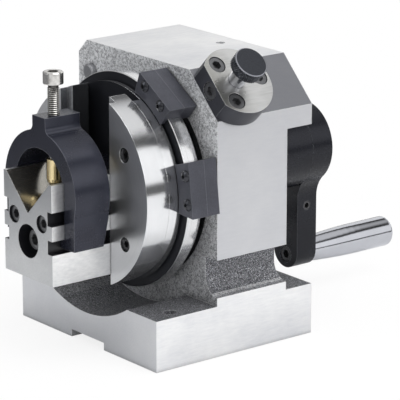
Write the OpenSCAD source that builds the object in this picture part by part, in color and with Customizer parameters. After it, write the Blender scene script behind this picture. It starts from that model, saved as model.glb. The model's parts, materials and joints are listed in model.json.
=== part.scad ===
// Hand-cranked indexing former that swings a punch held in a vee block.
// X = 0 and z = axis_h is the spindle line, Y = 0 is the front face of the base,
// and Z = 0 is the surface that the base stands on. The crank is at the back, at high Y.

/* [Base] */
// Width of the base across the spindle
base_w = 112; // [108:1:130]
// Distance of the middle of the base to the right of the spindle line
base_shift = 2.2; // [0:0.1:3]
// Length of the base along the spindle
base_l = 97.5; // [96:0.5:120]
// Height of the front and back ledges
base_h = 25.8; // [22:0.1:27]
// Height of the step under the housing walls above the ledges
raise_h = 4.2; // [2:0.1:6]
// Width of the keyway under the base
key_w = 27; // [16:1:40]
// Depth of the keyway under the base
key_d = 3.8; // [2:0.1:6]
// Radius of the hollow in the base that clears the turning parts
hollow_r = 64.3; // [63.5:0.1:67]
// Bore of the two bolt holes
bolt_hole_d = 6.4; // [5:0.1:8]
// Distance between the two bolt holes
bolt_pitch = 96; // [88:1:100]
// Distance of the bolt holes behind the front face
bolt_y = 14.6; // [8:0.1:20]

/* [Housing] */
// Height of the spindle line above the table
axis_h = 80; // [78:0.5:90]
// Distance of the housing's front face behind the front of the base
wall_y = 37.2; // [37:0.1:38]
// Length of the side pads along the spindle
pad_l = 43.6; // [43:0.1:46]
// Height of the top above the spindle line
top_up = 60; // [58:0.5:66]
// Width of the large chamfer, measured along the top
cham_r = 21.7; // [20:0.1:23]
// Width of the small chamfer on the left
cham_l = 7; // [3:0.5:10]
// Height of the lower edge of the side pads
pad_z = 49.2; // [46:0.1:54]
// Depth of the side walls behind the pads
pad_step = 9.2; // [5:0.1:11]
// Height of the underside of the hood at the back
hood_z = 108; // [106:0.5:112]
// Length of the hood behind the pads
hood_l = 15.6; // [12:0.1:18]
// Thickness of the lip that holds the front bearing
lip_t = 1.8; // [1.2:0.1:2]
// Bore of the drilled hole in the top
top_hole_d = 4.6; // [3:0.1:8]
// Depth of the drilled hole in the top
top_hole_deep = 12; // [6:1:15]

/* [Spindle] */
// Radius of the spindle disc and the slide rails
disc_r = 49.6; // [48:0.1:49.8]
// Distance of the front of the rails behind the front of the base
rail_y = 1.5; // [0:0.1:2]
// Depth of the shallow step in front of the rails' lands
step_d = 3.7; // [2:0.1:5]
// Half of the distance between the rails at the shallow step
step_x = 19.8; // [18:0.1:21]
// Half of the distance between the lands
land_x = 15; // [13:0.1:17]
// Thickness of the lands
land_t = 9.5; // [7:0.1:10]
// Half of the width of the slot behind the lands
slot_x = 21; // [20:0.1:23]
// Depth of the slot in the spindle disc
slot_d = 4.3; // [3:0.1:4.8]
// Thickness of the spindle disc behind the rails
disc_t = 6.7; // [6:0.1:8]
// Radius of the neck that carries the stop ring
neck_r = 30; // [25:0.5:34]
// Radius of the shoulder in front of the front bearing
shoulder_r = 22.5; // [21.5:0.1:23]
// Radius of the seat of the crank
seat_r = 10; // [8:0.5:12]
// Distance of the rail screws from the spindle line, sideways
rail_screw_x = 31.6; // [29:0.1:34]
// Distance of the rail screws above and below the spindle line
rail_screw_z = 22.2; // [18:0.1:26]

/* [Bearings] */
// Bore of the front bearing
front_bore_d = 40; // [36:1:42]
// Outer diameter of the front bearing
front_out_d = 52; // [50:1:56]
// Bore of the rear bearing
rear_bore_d = 35; // [30:1:36]
// Outer diameter of the rear bearing
rear_out_d = 47; // [42:1:48]
// Width of each bearing
bearing_w = 7; // [6:0.5:8]

/* [Index drum] */
// Radius of the index drum
drum_r = 30; // [28:0.5:31]
// Width of the index drum
drum_w = 7.6; // [6.6:0.1:7.8]
// Number of index holes around the drum
index_n = 24; // [12:12:24]
// Diameter of each index hole
index_hole_d = 5.2; // [5.2:0.1:5.4]
// Depth of each index hole
index_hole_deep = 7; // [6.5:0.1:8]
// Side of the square key of the drum
key_side = 5; // [4:0.5:6]

/* [Stops] */
// Radius of the rim of the stop ring
ring_r = 54; // [53:0.1:54.5]
// Width of the rim of the stop ring
rim_w = 6.7; // [5:0.1:8]
// Radius of the ring behind its rim
ring_back_r = 51.5; // [50.5:0.1:52]
// Width of the ring behind its rim
ring_back_w = 4.4; // [3:0.1:5]
// Width of the groove between the spindle disc and the stop ring
groove_w = 1.2; // [0.8:0.1:1.6]
// Distance from the spindle line to the flat top of a stop
stop_flat = 59.6; // [58.5:0.1:60]
// Length of a stop along the ring
stop_len = 27.6; // [22:0.1:30]
// Length of a stop along the spindle, in front of the rim
stop_lip = 2.5; // [1.8:0.1:3]
// Angle of the upper stop above the horizontal
stop_a = 58.3; // [50:0.1:65]
// Angle of the lower stop above the horizontal
stop_b = 7; // [0:0.1:12]
// Distance between the two screws of a stop
stop_pitch = 14; // [11:0.5:16]
// Radius of the fixed stop pin
pin_r = 4; // [3:0.1:5]
// Distance of the fixed stop pin from the spindle line
pin_out = 61.7; // [60:0.1:63]
// Angle of the fixed stop pin
pin_a = 133.7; // [130:0.1:140]
// Length of the fixed stop pin in front of the housing
pin_l = 3; // [2:0.1:6]

/* [Vee block] */
// Half of the width of the vee block
vee_x = 19.9; // [19:0.1:21]
// Length of the vee block in front of the rails
vee_l = 34.5; // [30:0.5:40]
// Height of the vee block's top above the spindle line
vee_up = 10.4; // [8:0.1:11]
// Depth of the vee block's underside below the spindle line
vee_down = 40; // [36:0.5:42]
// Depth of the bottom of the vee below the spindle line
apex_down = 7.4; // [6:0.1:9]
// Height of each side groove
groove_h = 6.9; // [6:0.1:8]
// Depth of each side groove
groove_d = 3.6; // [2:0.1:3.6]
// Depth of the middle of the upper side groove below the spindle line
groove_a = 6.6; // [5:0.1:8]
// Depth of the middle of the lower side groove below the spindle line
groove_b = 20.8; // [19.9:0.1:21.4]
// Half of the distance between the two small screws
small_x = 11.5; // [10:0.1:11.6]
// Depth of the small screws below the spindle line
small_down = 10.3; // [8:0.1:11]
// Depth of the large screw below the spindle line
large_down = 21.4; // [20:0.1:24]
// Height of the T slide above the spindle line
slide_up = 12; // [8:0.5:14]

/* [Yoke] */
// Outer radius of the yoke
yoke_r = 29.3; // [28.5:0.1:31]
// Radius of the hole through the yoke
yoke_hole_r = 20.4; // [18:0.1:21.5]
// Height of the middle of the yoke above the spindle line
yoke_up = 3.2; // [1:0.1:4]
// Width of the yoke along the spindle
yoke_w = 20.4; // [19:0.1:21]
// Distance from the front of the vee block to the yoke
yoke_back = 7.2; // [7.1:0.1:8]
// Half of the width over the yoke's legs
leg_x = 28; // [26:0.1:29]
// Depth of the bottom of the yoke's legs below the spindle line
leg_down = 22.05; // [20.5:0.05:23]
// Distance of the yoke's flat top above its round top
boss_up = 6.8; // [5:0.1:8]
// Width of the yoke's flat top
boss_w = 10.6; // [9:0.1:14]
// Radius of the hollow curve beside the flat top
boss_fillet = 3.4; // [2:0.1:4]
// Distance of the clamp screw behind the yoke's front
clamp_in = 8.9; // [8.5:0.1:10.2]
// Radius of the clamp screw's thread
clamp_r = 3; // [2.5:0.1:3.5]
// Length of the clamp screw under its head
clamp_l = 36.8; // [36:0.1:37.5]
// Height of the clamp screw's head above the flat top
clamp_out = 15.1; // [13:0.1:17]
// Radius of the brass tip
tip_r = 3.9; // [3.6:0.1:4.5]
// Length of the brass tip
tip_l = 13; // [12:0.1:14]

/* [Plunger] */
// Thickness of the plunger block
block_t = 11; // [9:0.5:13]
// Radius of the plunger block
block_r = 18.5; // [18.3:0.1:19]
// Distance of the middle of the plunger block behind the housing's front face
block_y = 14.5; // [14.2:0.1:14.9]
// Distance of each block screw to the side of the plunger
block_screw_x = 10.6; // [10.4:0.1:10.8]
// Distance of the two front block screws behind the housing's front face
block_screw_y = 7.5; // [7.3:0.1:7.8]
// Distance of the third block screw behind the housing's front face
block_back_y = 27.4; // [26.5:0.1:27.6]
// Distance of the plunger behind the housing's front face
plunger_back = 13; // [12.9:0.1:13.4]
// Radius of the plunger's stem
stem_r = 4.2; // [3.6:0.1:4.3]
// Radius of the plunger's tip
plunger_tip_r = 2.5; // [2:0.1:2.5]
// Distance that the plunger is pulled out
pull = 6; // [5:0.1:6]
// Radius of the knob
knob_r = 8.5; // [7.5:0.1:9.5]
// Height of the knob
knob_h = 6.7; // [5:0.1:9]
// Gap under the knob when the plunger is in an index hole
knob_gap = 3.5; // [1:0.1:5]
// Outer radius of the plunger's bush
bush_r = 8; // [7.6:0.1:8.5]
// Radius of the spring's coil at the middle of its wire
spring_r = 5.2; // [5:0.1:5.5]
// Thickness of the spring's wire
wire_d = 0.9; // [0.6:0.1:1]
// Number of turns of the spring
turns = 6; // [4:1:7]

/* [Back] */
// Radius of the rear cover's flange
cover_r = 37.5; // [37:0.1:39]
// Thickness of the rear cover's flange
cover_t = 5; // [4:0.5:6]
// Radius of the rear cover's boss
cover_boss_r = 26.5; // [26:0.1:27]
// Length of the rear cover's boss
cover_boss_l = 15.5; // [15:0.1:17]
// Radius of the rear collar
collar_r = 22; // [20:0.1:24]
// Length of the rear collar
collar_l = 32.4; // [28:0.1:36]
// Radius of the crank's hub
hub_r = 21.5; // [20:0.1:26]
// Thickness of the crank
crank_t = 12.8; // [11:0.1:15]
// Distance from the spindle line to the handle
throw = 59.2; // [57:0.1:60]
// Distance from the spindle line to the middle of the arm's round end
arm_end = 57; // [56:0.1:62]
// Half of the width of the crank's arm
arm_x = 9.3; // [9:0.1:11]
// Radius of the hollow curve between the hub and the arm
web_r = 16; // [12:0.5:20]
// Radius of the handle at the crank
grip_a = 6.5; // [6:0.1:7.5]
// Radius of the handle near its end
grip_b = 8.1; // [7.8:0.1:9]
// Length of the handle
grip_l = 56.5; // [48:0.5:62]

/* [Hidden] */
$fn = 96;

// Overshoot of a cut past the face that it opens
cut = 1;
// Clearance of a running fit on the radius
run = 0.05;
// Clearance between faces that slide past each other
slide_gap = 0.1;
// Amount that a hollow curve bites into the faces that it runs into, so that they meet cleanly
bite = 0.02;
// Clearance between a loose piece and what it passes
loose = 0.3;

// Thread and head of the small cap screws
m4 = 4;
m4_head = 7;
m5 = 5;
m5_head = 8.5;
m5_sink_r = 4.5;
// Depth of the screw heads in the rails
rail_sink = 4.5;
// Thread, reach and head recess of the rear cover's screws
cover_screw_d = 3.3;
cover_screw_l = 11;
cover_sink = 3;
// Depth of the holes for the block screws and the fixed stop pin in the housing
block_screw_in = 9;
pin_in = 8;
// Thread and length in the spindle of the crank's screw
crank_screw_d = 5;
crank_screw_l = 16;
// Thickness of the washer under the crank's screw
washer_t = 2.5;
// Depth of the handle screw's head in the crank and length of its shank in the grip
handle_sink = 5;
handle_screw_l = 43;
// Thread of the two screws of each stop
stop_screw_d = 3.2;
// Depth of the screw heads in the top and in the side of the plunger block
block_sink = 5.4;
side_sink = 3.4;

base_x0 = base_shift - base_w / 2;
base_x1 = base_shift + base_w / 2;
raise_z = base_h + raise_h;
top_z = axis_h + top_up;
pad_y1 = wall_y + pad_l;
hood_y1 = pad_y1 + hood_l;
body_x0 = base_x0 + pad_step;
body_x1 = base_x1 - pad_step;
// Height of the hollow curve between the step and the walls
flare_h = 9;
// Distance from the spindle line to the plane of the large chamfer
cham_out = (base_x1 - cham_r + top_up) / sqrt(2);

front_y0 = wall_y + lip_t;
front_y1 = front_y0 + bearing_w;
plunger_y = wall_y + plunger_back;
drum_y0 = plunger_y - drum_w / 2;
drum_y1 = plunger_y + drum_w / 2;
cavity_r = drum_r + 1;
cover_y0 = pad_y1 - cover_t;
cover_y1 = pad_y1 + cover_boss_l;
rear_y0 = pad_y1 + 2;
rear_y1 = rear_y0 + bearing_w;
nut_y0 = rear_y1;
nut_y1 = cover_y1 - loose;
nut_r = rear_out_d / 2 - 1.2;
drum_seat_r = front_bore_d / 2 - 1;
key_z1 = axis_h + drum_seat_r + key_side / 2;
collar_seat_r = rear_bore_d / 2 - 3;
collar_y0 = cover_y1 + 0.8;
collar_y1 = collar_y0 + collar_l;
crank_y0 = collar_y1 + loose;
crank_y1 = crank_y0 + crank_t;
sleeve_r = rear_bore_d / 2 + 3;
handle_screw_r = 2.6;
handle_screw_y1 = crank_y1 + handle_screw_l;
// Radius and depth of the small screw in the side of the arm
arm_screw_r = 2.4;
arm_screw_in = 6;

step_y = rail_y + step_d;
rail_y1 = step_y + land_t;
disc_y1 = rail_y1 + disc_t;
slot_y1 = rail_y1 + slot_d;
ring_y0 = disc_y1 + groove_w;
rim_y1 = ring_y0 + rim_w;
ring_y1 = rim_y1 + ring_back_w;
neck_y1 = wall_y - loose;

stop_y0 = ring_y0 - stop_lip;
stop_y1 = wall_y - 0.6;
seam_y = rim_y1 + slide_gap / 2;
// Amount that each end of a stop leans in, and distance of its inner side from the spindle line
stop_end = 2.6;
stop_in = stop_flat - 14;

vee_y0 = rail_y - vee_l;
vee_top = axis_h + vee_up;
vee_z0 = axis_h - vee_down;
apex_z = axis_h - apex_down;
leg_z = axis_h - leg_down;
// Thread and head recess of the vee block's small screws and of its large screw
small_d = 5;
small_sink = 6;
large_d = 6;
large_sink = 10;
hook_z = axis_h - groove_b + groove_h / 2 - slide_gap;

yoke_z = axis_h + yoke_up;
yoke_y0 = vee_y0 + yoke_back;
yoke_y1 = yoke_y0 + yoke_w;
clamp_y = yoke_y0 + clamp_in;
boss_z = yoke_z + yoke_r + boss_up;
head_z = boss_z + clamp_out;
tip_z = head_z - clamp_l - tip_l;
// Depth of the clamp screw's end in its brass tip
nose = 2;
// Depth and height of the slope at the rear of the yoke's feet
foot_in = 3.4;
foot_h = 14;

knob_z0 = cham_out + block_t + pull + knob_gap;
// Depth of the stem's threaded end in the knob
stem_in = knob_h - 1.7;
tip_end = drum_r + 0.5;
flange_z0 = tip_end + 20;
flange_z1 = flange_z0 + 3;
// Radius of the plunger's flange, which carries the spring
flange_r = spring_r + 1;

// A cylinder along Y
module ycyl(r, y0, y1, x = 0, z = axis_h) {
    translate([x, y1, z]) rotate([90, 0, 0]) cylinder(r = r, h = y1 - y0);
}

// A flat outline in X and Z, made thick along Y
module yplate(y0, y1) {
    translate([0, y1, 0]) rotate([90, 0, 0]) linear_extrude(height = y1 - y0) children();
}

// A box from its lowest to its highest corner
module box(a, b) {
    translate(a) cube([b[0] - a[0], b[1] - a[1], b[2] - a[2]]);
}

// A body of revolution about a line along Y; its outline gives the radius and the Y
module yturn(x = 0, z = axis_h) {
    translate([x, 0, z]) rotate([-90, 0, 0]) rotate_extrude() children();
}

// The frame of the plunger: z runs out through the large chamfer, x runs down along it
module on_chamfer() {
    translate([0, plunger_y, axis_h]) rotate([0, 45, 0]) children();
}

// The frame of a stop: x runs out from the spindle line, at the given angle
module at_angle(a) {
    translate([0, 0, axis_h]) rotate([0, -a, 0]) children();
}

// A cap screw with its seat at z = 0, its head above and its shank below
module cap_screw(d, head_d, head_h, length, hex) {
    difference() {
        union() {
            cylinder(d = head_d, h = head_h);
            translate([0, 0, -length]) cylinder(d = d, h = length + 0.1);
        }
        translate([0, 0, head_h * 0.45]) cylinder(d = hex / cos(30), h = head_h, $fn = 6);
    }
}

// The same screw along Y, with its head at the front
module y_cap_screw(x, y, z, d, head_d, head_h, length, hex) {
    translate([x, y, z]) rotate([90, 0, 0]) cap_screw(d, head_d, head_h, length, hex);
}

// The hollow curve from the edge of the step in to a wall, as a list of points
function flare(wall_x, edge_x) =
    [for (a = [0:15:90]) [wall_x + (edge_x - wall_x) * (1 - sin(a)), raise_z + flare_h * (1 - cos(a))]];

// The front view of the housing's walls and pads
module wall_outline() {
    right = flare(body_x1, base_x1);
    left = flare(body_x0, base_x0);
    polygon(concat(
        [[base_x0, base_h - cut], [base_x1, base_h - cut], [base_x1, raise_z]],
        right,
        [[body_x1, pad_z], [base_x1, pad_z], [base_x1, top_z - cham_r],
         [base_x1 - cham_r, top_z], [base_x0 + cham_l, top_z], [base_x0, top_z - cham_l],
         [base_x0, pad_z], [body_x0, pad_z]],
        [for (i = [len(left) - 1:-1:0]) left[i]],
        [[base_x0, raise_z]]));
}

// The front view of the hood over the back
module hood_outline() {
    intersection() {
        wall_outline();
        translate([base_x0, hood_z]) square([base_w, top_z - hood_z]);
    }
}

module housing() {
    color("silver") difference() {
        union() {
            box([base_x0, 0, 0], [base_x1, base_l, base_h]);
            yplate(wall_y, pad_y1) wall_outline();
            yplate(pad_y1 - cut, hood_y1) hood_outline();
        }
        // keyway
        box([base_shift - key_w / 2, -cut, -cut], [base_shift + key_w / 2, base_l + cut, key_d]);
        // hollow that clears the turning parts
        ycyl(hollow_r, -cut, wall_y);
        // bolt holes
        for (s = [-1, 1])
            translate([base_shift + s * bolt_pitch / 2, bolt_y, -cut])
                cylinder(d = bolt_hole_d, h = base_h + 2 * cut);
        // lip, bearing seat and cavity along the spindle
        ycyl(shoulder_r + 1, wall_y - cut, front_y0 + cut);
        ycyl(front_out_d / 2, front_y0, front_y1 + cut);
        ycyl(cavity_r, front_y1, pad_y1 + cut);
        ycyl(cover_r + loose, cover_y0, hood_y1 + cut);
        rear_cover_places() cylinder(d = cover_screw_d, h = cover_screw_l + cut);
        // bore of the plunger's bush
        on_chamfer() translate([0, 0, drum_r - 2]) cylinder(r = bush_r, h = cham_out);
        // threaded holes of the plunger block
        block_screw_places() translate([0, 0, -block_screw_in]) cylinder(d = m5, h = block_screw_in + cut);
        // hole in the top
        translate([0, pad_y1 + 5, top_z - top_hole_deep]) cylinder(d = top_hole_d, h = top_hole_deep + cut);
        // hole of the fixed stop pin
        fixed_pin_place() ycyl(pin_r, -cut, pin_in, z = 0);
    }
}

// The place of the fixed stop pin; y runs back into the housing from its front face
module fixed_pin_place() {
    at_angle(pin_a) translate([pin_out, wall_y, 0]) children();
}

module fixed_stop_pin() {
    bevel = 0.6;
    color("silver") fixed_pin_place() yturn(z = 0) polygon([
        [0, -pin_l], [pin_r - bevel, -pin_l], [pin_r, bevel - pin_l], [pin_r, pin_in], [0, pin_in]]);
}

// A sealed ring bearing between two radii; its bore runs freely on the spindle
module ring_bearing(bore_d, out_d, y0) {
    inner = bore_d / 2 + run;
    outer = out_d / 2;
    y1 = y0 + bearing_w;
    // Width of each race's face and depth of the seals behind it
    race = 1.5;
    seal = 0.4;
    color("gainsboro") yturn() polygon([
        [inner, y0], [inner + race, y0], [inner + race, y0 + seal], [outer - race, y0 + seal],
        [outer - race, y0], [outer, y0], [outer, y1], [outer - race, y1],
        [outer - race, y1 - seal], [inner + race, y1 - seal], [inner + race, y1], [inner, y1]]);
}

module front_bearing() {
    ring_bearing(front_bore_d, front_out_d, front_y0);
}

module rear_bearing() {
    ring_bearing(rear_bore_d, rear_out_d, rear_y0);
}

// The four screws that hold the rear cover; z runs forward, from the cover's back face
module rear_cover_places() {
    for (a = [45:90:315])
        at_angle(a) translate([(cavity_r + cover_r) / 2, pad_y1, 0]) rotate([90, 0, 0]) children();
}

module rear_cover() {
    color("dimgray") difference() {
        union() {
            ycyl(cover_r, cover_y0, pad_y1);
            ycyl(cavity_r - run, cover_y0 - 4, cover_y0 + cut);
            ycyl(cover_boss_r, pad_y1 - cut, cover_y1);
        }
        ycyl(sleeve_r + 1, cover_y0 - 4 - cut, rear_y0 + cut);
        ycyl(rear_out_d / 2, rear_y0, cover_y1 + cut);
        rear_cover_places() translate([0, 0, -cut]) cylinder(d = cover_screw_d, h = cover_t + 2 * cut);
        rear_cover_places() translate([0, 0, -cut]) cylinder(r = 3, h = cover_sink + cut);
    }
}

module rear_cover_screws() {
    color("dimgray") rear_cover_places() translate([0, 0, cover_sink]) rotate([180, 0, 0])
        cap_screw(cover_screw_d, 5.6, 2.9, cover_screw_l - cover_sink, 2.5);
}

module spindle() {
    color("silver") difference() {
        union() {
            ycyl(disc_r, rail_y1, disc_y1);
            ycyl(neck_r, disc_y1 - cut, neck_y1);
            ycyl(shoulder_r, neck_y1 - cut, front_y0);
            ycyl(front_bore_d / 2, front_y0 - cut, front_y1);
            ycyl(drum_seat_r, front_y1 - cut, drum_y1);
            ycyl(rear_bore_d / 2, drum_y1 - cut, rear_y1);
            ycyl(rear_bore_d / 2 - 2, rear_y1 - cut, nut_y1);
            ycyl(collar_seat_r, nut_y1 - cut, collar_y1);
            ycyl(seat_r, collar_y1 - cut, crank_y1 - 2);
        }
        // slot behind the lands
        box([-slot_x, rail_y1 - cut, axis_h - disc_r - cut],
            [slot_x, slot_y1, axis_h + disc_r + cut]);
        rail_screw_places() translate([0, 0, -rail_y1 - disc_t + 1.5]) cylinder(d = m4, h = disc_t);
        // keyway of the drum
        box([-key_side / 2, drum_y0, key_z1 - key_side],
            [key_side / 2, drum_y1, axis_h + drum_seat_r + cut]);
        // thread of the crank screw
        ycyl(crank_screw_d / 2, crank_y1 - crank_screw_l, crank_y1 + cut);
    }
}

// The places of the four rail screws; z runs forward, from y = 0
module rail_screw_places() {
    for (sx = [-1, 1]) for (sz = [-1, 1])
        translate([sx * rail_screw_x, 0, axis_h + sz * rail_screw_z]) rotate([90, 0, 0]) children();
}

// One of the two rails that hold the T slide, on the right
module slide_rail() {
    color("silver") difference() {
        ycyl(disc_r, rail_y, rail_y1);
        box([-disc_r - cut, rail_y - cut, axis_h - disc_r - cut],
            [land_x, rail_y1 + cut, axis_h + disc_r + cut]);
        box([0, rail_y - cut, axis_h - disc_r - cut], [step_x, step_y, axis_h + disc_r + cut]);
        rail_screw_places() translate([0, 0, -rail_y1 - cut]) cylinder(d = m4, h = rail_y1 + 2 * cut);
        rail_screw_places() translate([0, 0, -rail_y - rail_sink]) cylinder(r = 3.7, h = rail_sink + cut);
    }
}

module slide_rail_right() {
    slide_rail();
}

module slide_rail_left() {
    mirror([1, 0, 0]) slide_rail();
}

module rail_screws() {
    color("dimgray") rail_screw_places() translate([0, 0, -rail_y - rail_sink])
        cap_screw(m4, m4_head, 3.6, rail_y1 + disc_t - 1.5 - rail_y - rail_sink, 3);
}

module stop_ring() {
    color("silver") yturn() polygon([
        [neck_r, ring_y0], [ring_r - 0.5, ring_y0], [ring_r, ring_y0 + 0.5], [ring_r, rim_y1],
        [ring_back_r, rim_y1], [ring_back_r, ring_y1 - 1], [ring_back_r - 1, ring_y1],
        [neck_r, ring_y1]]);
}

module index_drum() {
    color("gainsboro") difference() {
        ycyl(drum_r, drum_y0, drum_y1);
        ycyl(drum_seat_r, drum_y0 - cut, drum_y1 + cut);
        for (i = [0:index_n - 1])
            translate([0, plunger_y, axis_h]) rotate([0, 45 + i * 360 / index_n, 0])
                translate([0, 0, drum_r - index_hole_deep])
                    cylinder(d = index_hole_d, h = index_hole_deep + cut);
        box([-key_side / 2, drum_y0 - cut, axis_h], [key_side / 2, drum_y1 + cut, key_z1]);
    }
}

module drum_key() {
    color("dimgray") box([-key_side / 2, drum_y0, key_z1 - key_side], [key_side / 2, drum_y1, key_z1]);
}

module spacer_sleeve() {
    color("gainsboro") difference() {
        ycyl(sleeve_r, drum_y1, rear_y0);
        ycyl(rear_bore_d / 2, drum_y1 - cut, rear_y0 + cut);
    }
}

module lock_nut() {
    color("dimgray") difference() {
        ycyl(nut_r, nut_y0, nut_y1);
        ycyl(rear_bore_d / 2 - 2, nut_y0 - cut, nut_y1 + cut);
        for (a = [0:90:270])
            at_angle(a) box([nut_r - 2, nut_y0 - cut, -2], [nut_r + cut, nut_y1 + cut, 2]);
    }
}

module rear_collar() {
    color("#2b2c33") difference() {
        yturn() polygon([[collar_seat_r, collar_y0], [collar_r - 0.8, collar_y0],
                         [collar_r, collar_y0 + 0.8], [collar_r, collar_y1 - 0.5],
                         [collar_r - 0.5, collar_y1], [collar_seat_r, collar_y1]]);
        at_angle(90) translate([collar_seat_r - 1, collar_y0 + collar_l / 2, 0]) rotate([0, 90, 0])
            cylinder(r = 2, h = collar_r);
    }
}

module collar_set_screw() {
    color("dimgray") at_angle(90) translate([collar_seat_r, collar_y0 + collar_l / 2, 0])
        rotate([0, 90, 0]) difference() {
            cylinder(r = 2, h = collar_r - collar_seat_r - 1);
            translate([0, 0, collar_r - collar_seat_r - 3]) cylinder(d = 2.3, h = 3, $fn = 6);
        }
}

// The front view of the crank: a round hub, a straight arm and hollow curves between them
module crank_outline() {
    side_x = arm_x - bite;
    web_c = side_x + web_r;
    drop = sqrt(pow(hub_r + web_r, 2) - pow(web_c, 2));
    // The web's corners lie where the curves touch, drawn in a little to meet them cleanly
    share = hub_r / (hub_r + web_r);
    within = 0.985;
    difference() {
        union() {
            circle(r = hub_r);
            translate([0, -arm_end]) circle(r = arm_x);
            polygon([[0, 0], [-web_c * share * within, -drop * share], [-web_c * within, -drop],
                     [-side_x, -drop], [-side_x, -arm_end], [side_x, -arm_end], [side_x, -drop],
                     [web_c * within, -drop], [web_c * share * within, -drop * share]]);
        }
        for (s = [-1, 1]) translate([s * web_c, -drop]) circle(r = web_r + bite);
    }
}

module crank_arm() {
    color("#2b2c33") difference() {
        yplate(crank_y0, crank_y1) translate([0, axis_h]) crank_outline();
        ycyl(seat_r, crank_y0 - cut, crank_y1 + cut);
        ycyl(handle_screw_r + 1.9, crank_y0 - cut, crank_y0 + handle_sink, z = axis_h - throw);
        ycyl(handle_screw_r, crank_y0 - cut, crank_y1 + cut, z = axis_h - throw);
        arm_screw_place() cylinder(r = arm_screw_r, h = arm_screw_in + cut);
    }
}

// The place of the small screw in the side of the arm; z runs out through that side
module arm_screw_place() {
    translate([arm_x - arm_screw_in, (crank_y0 + crank_y1) / 2, axis_h - throw + 27.4])
        rotate([0, 90, 0]) children();
}

module crank_washer() {
    color("dimgray") difference() {
        ycyl(seat_r + 4, crank_y1, crank_y1 + washer_t);
        ycyl(crank_screw_d / 2 + 0.3, crank_y1 - cut, crank_y1 + washer_t + cut);
    }
}

module crank_screw() {
    color("dimgray") translate([0, crank_y1 + washer_t, axis_h]) rotate([-90, 0, 0])
        cap_screw(crank_screw_d, 8.5, 5, washer_t + crank_screw_l - 1, 4);
}

module arm_set_screw() {
    color("dimgray") arm_screw_place() difference() {
        cylinder(r = arm_screw_r, h = arm_screw_in - 0.2);
        translate([0, 0, arm_screw_in - 2.6]) cylinder(d = 2.9, h = 3, $fn = 6);
    }
}

module handle_screw() {
    color("dimgray") y_cap_screw(0, crank_y0 + handle_sink, axis_h - throw, 2 * handle_screw_r, 8.4, 4.6,
                                 handle_screw_y1 - crank_y0 - handle_sink, 4);
}

// The grip swells in a smooth curve from the crank and closes with a rounded edge
module handle_grip() {
    n = 8;
    // Length of the swelling part and radius of the rounded end
    swell = 34;
    round_r = 2.2;
    bevel = 0.6;
    y0 = crank_y1 + loose;
    y1 = y0 + grip_l;
    bore = handle_screw_r + run;
    color("lightgray") yturn(z = axis_h - throw) polygon(concat(
        [[bore, y0], [grip_a - bevel, y0], [grip_a, y0 + bevel]],
        [for (i = [1:n]) let (t = i / n)
            [grip_a + (grip_b - grip_a) * sin(90 * t), y0 + bevel + swell * t]],
        [[grip_b, y1 - round_r]],
        [for (a = [15:15:90]) [grip_b - round_r + round_r * cos(a), y1 - round_r + round_r * sin(a)]],
        [[0, handle_screw_y1 + 1], [bore, handle_screw_y1 + 1]]));
}

// The front view of a stop, set out from the spindle line; its inner side follows a circle
module stop_outline(inner_r) {
    difference() {
        polygon([[stop_in, stop_end - stop_len / 2], [stop_flat, -stop_len / 2],
                 [stop_flat, stop_len / 2], [stop_in, stop_len / 2 - stop_end]]);
        circle(r = inner_r, $fn = 180);
    }
}

// A slice of a stop between two planes
module stop_slice(a, inner_r, y0, y1) {
    at_angle(a) yplate(y0, y1) stop_outline(inner_r);
}

// The places of a stop's two screws; z runs forward, from y = 0
module stop_screw_places(a) {
    for (s = [-1, 1])
        at_angle(a) translate([stop_flat - 3, 0, s * stop_pitch / 2]) rotate([90, 0, 0]) children();
}

// The jaw hooks over the front of the ring's rim, and the screws pull the back up to it
module stop_jaw(a) {
    color("#3a3d46") difference() {
        union() {
            stop_slice(a, disc_r + 0.4, stop_y0, ring_y0 - slide_gap / 2);
            stop_slice(a, ring_r + run, ring_y0 - slide_gap, seam_y);
        }
        stop_screw_places(a) translate([0, 0, -seam_y - cut])
            cylinder(d = stop_screw_d, h = seam_y - stop_y0 + 2 * cut);
    }
}

module stop_back(a) {
    color("#3a3d46") difference() {
        stop_slice(a, ring_back_r + run, seam_y, stop_y1);
        stop_screw_places(a) translate([0, 0, 1 - stop_y1])
            cylinder(d = stop_screw_d, h = stop_y1 - seam_y);
    }
}

module stop_screws(a) {
    reach = stop_y1 - stop_y0;
    color("#3a3d46") stop_screw_places(a) translate([0, 0, -stop_y0]) difference() {
        union() {
            intersection() {
                translate([0, 0, -2.2]) sphere(r = 3.9);
                cylinder(r = 2.9, h = 3);
            }
            translate([0, 0, 1.5 - reach]) cylinder(d = stop_screw_d, h = reach - 1.4);
        }
        translate([0, 0, 0.5]) cylinder(d = 2.1, h = 3, $fn = 6);
    }
}

module upper_stop_jaw() {
    stop_jaw(stop_a);
}

module upper_stop_back() {
    stop_back(stop_a);
}

module upper_stop_screws() {
    stop_screws(stop_a);
}

module lower_stop_jaw() {
    stop_jaw(stop_b);
}

module lower_stop_back() {
    stop_back(stop_b);
}

module lower_stop_screws() {
    stop_screws(stop_b);
}

module t_slide() {
    z1 = axis_h + slide_up;
    color("#2b2c33") difference() {
        union() {
            box([slide_gap - step_x, rail_y, vee_z0], [step_x - slide_gap, step_y - slide_gap, z1]);
            box([slide_gap - land_x, rail_y, vee_z0], [land_x - slide_gap, rail_y1 + slide_gap, z1]);
            box([slide_gap - slot_x, rail_y1 + slide_gap, vee_z0],
                [slot_x - slide_gap, slot_y1 - slide_gap, z1]);
        }
        small_screw_places() translate([0, 0, -rail_y - 9]) cylinder(d = small_d, h = 9 + cut);
        large_screw_place() translate([0, 0, -rail_y - 9]) cylinder(d = large_d, h = 9 + cut);
    }
}

// The places of the small and large screws of the vee block; z runs forward, from y = 0
module small_screw_places() {
    for (s = [-1, 1]) translate([s * small_x, 0, axis_h - small_down]) rotate([90, 0, 0]) children();
}

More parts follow.
